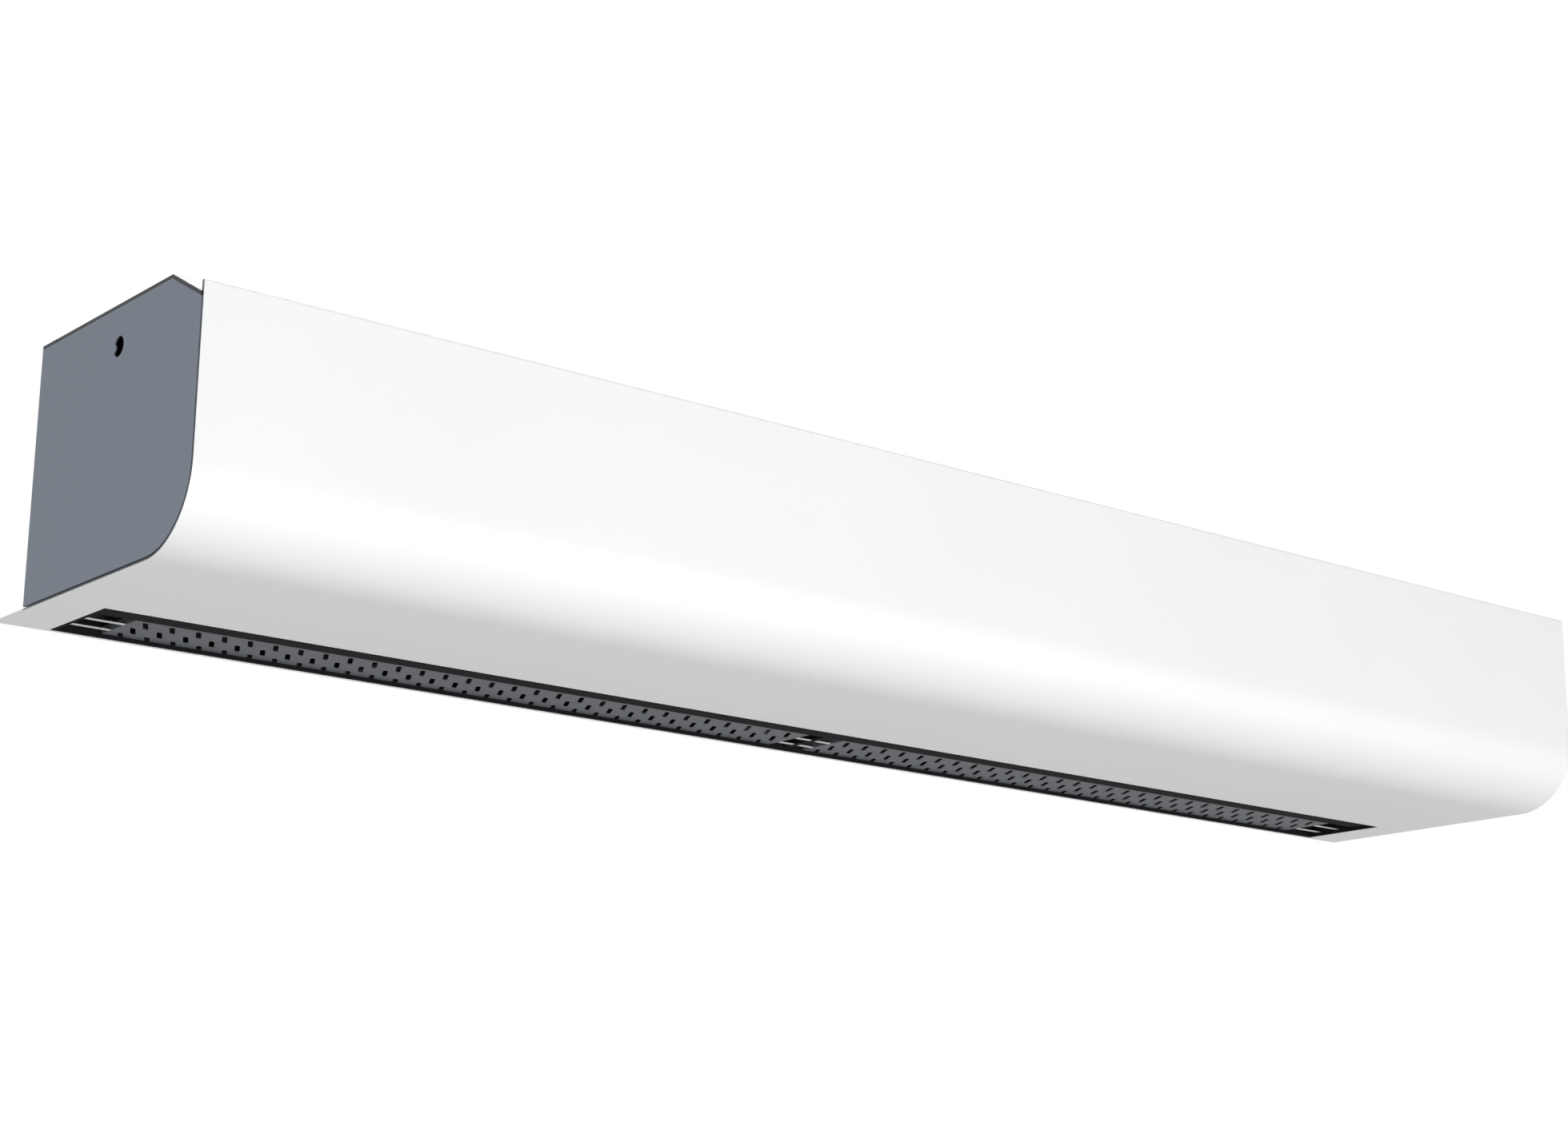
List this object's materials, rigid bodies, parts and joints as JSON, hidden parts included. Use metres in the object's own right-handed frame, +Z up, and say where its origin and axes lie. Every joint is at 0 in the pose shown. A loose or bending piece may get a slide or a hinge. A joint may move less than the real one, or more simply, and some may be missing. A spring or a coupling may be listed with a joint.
{
  "type": "air curtain",
  "caption": "Long wall-hung air curtain with a wrap-round white cover, grey ends, top intake, and an outlet slot with a lattice grille in the underside.",
  "frame": {"origin": "centre of the four wall bolts, on the wall plane", "axes": "+X along the length, +Y into the wall, +Z up"},
  "size_m": [1.555, 0.317, 0.266],
  "materials": {
    "white_paint": "semi-gloss white powder coat with a fine orange peel",
    "grey_paint": "satin blue-grey powder coat",
    "dark_paint": "matt charcoal powder coat",
    "galvanised": "galvanised sheet steel with a faint spangle",
    "lattice_grey": "matt grey expanded aluminium",
    "heater_steel": "stainless tube and fins, slightly heat-tinted",
    "cast_aluminium": "cast aluminium, blasted",
    "lamination_steel": "stacked sheet-steel laminations",
    "wheel_aluminium": "plain rolled aluminium",
    "bright_steel": "zinc-plated or ground steel",
    "spring_steel": "blued spring steel",
    "bronze": "sintered bronze",
    "rubber": "moulded black rubber",
    "black_plastic": "matt black moulding",
    "cream_plastic": "cream moulding",
    "white_plastic": "white moulding",
    "board_green": "lacquered circuit board"
  },
  "bodies": {
    "chassis": {"end_panel_left": "grey_paint", "end_panel_right": "grey_paint", "top_panel": "dark_paint", "intake_grille": "dark_paint", "rear_panel": "galvanised", "base_tray": "galvanised", "front_rail": "galvanised", "side_plate_left": "galvanised", "side_plate_right": "galvanised", "motor_plate_left": "galvanised", "motor_plate_right": "galvanised", "rear_guide_left": "dark_paint", "rear_guide_right": "dark_paint", "stabiliser_left": "dark_paint", "stabiliser_right": "dark_paint", "outlet_frame": "black_plastic", "outlet_lattice_left": "lattice_grey", "outlet_lattice_right": "lattice_grey", "heater_left": "heater_steel", "heater_right": "heater_steel", "heater_brackets": "galvanised", "thermal_cutout": "cream_plastic", "motor_casing": "cast_aluminium", "motor_stator": "lamination_steel", "motor_rubbers": "rubber", "bearing_bushes": "bronze", "bearing_rubbers": "rubber", "hinge_brackets": "galvanised", "hinge_pins": "bright_steel", "cover_catches": "spring_steel", "control_box": "galvanised", "control_box_lid": "galvanised", "terminal_block": "cream_plastic", "control_board": "board_green", "fan_capacitor": "white_plastic", "contactor": "black_plastic", "cable_gland": "black_plastic", "wall_bracket_left": "galvanised", "wall_bracket_right": "galvanised", "bracket_screws": "bright_steel", "wall_buffers": "rubber", "top_screws": "bright_steel", "end_panel_rivets": "bright_steel"},
    "cover": {"front_cover": "white_paint"},
    "rotor": {"motor_core": "lamination_steel", "motor_shaft": "bright_steel", "fan_wheel_left": "wheel_aluminium", "fan_wheel_right": "wheel_aluminium", "stub_shafts": "bright_steel"}
  },
  "joints": [
    {"name": "cover_hinge", "type": "hinge", "parent": "chassis", "child": "cover", "pos_m": [0, -0.009, -0.232], "axis": [1, 0, 0], "range_deg": [0, 80]},
    {"name": "fan_spin", "type": "hinge", "parent": "chassis", "child": "rotor", "pos_m": [0, -0.105, -0.112], "axis": [1, 0, 0], "continuous": true}
  ]
}
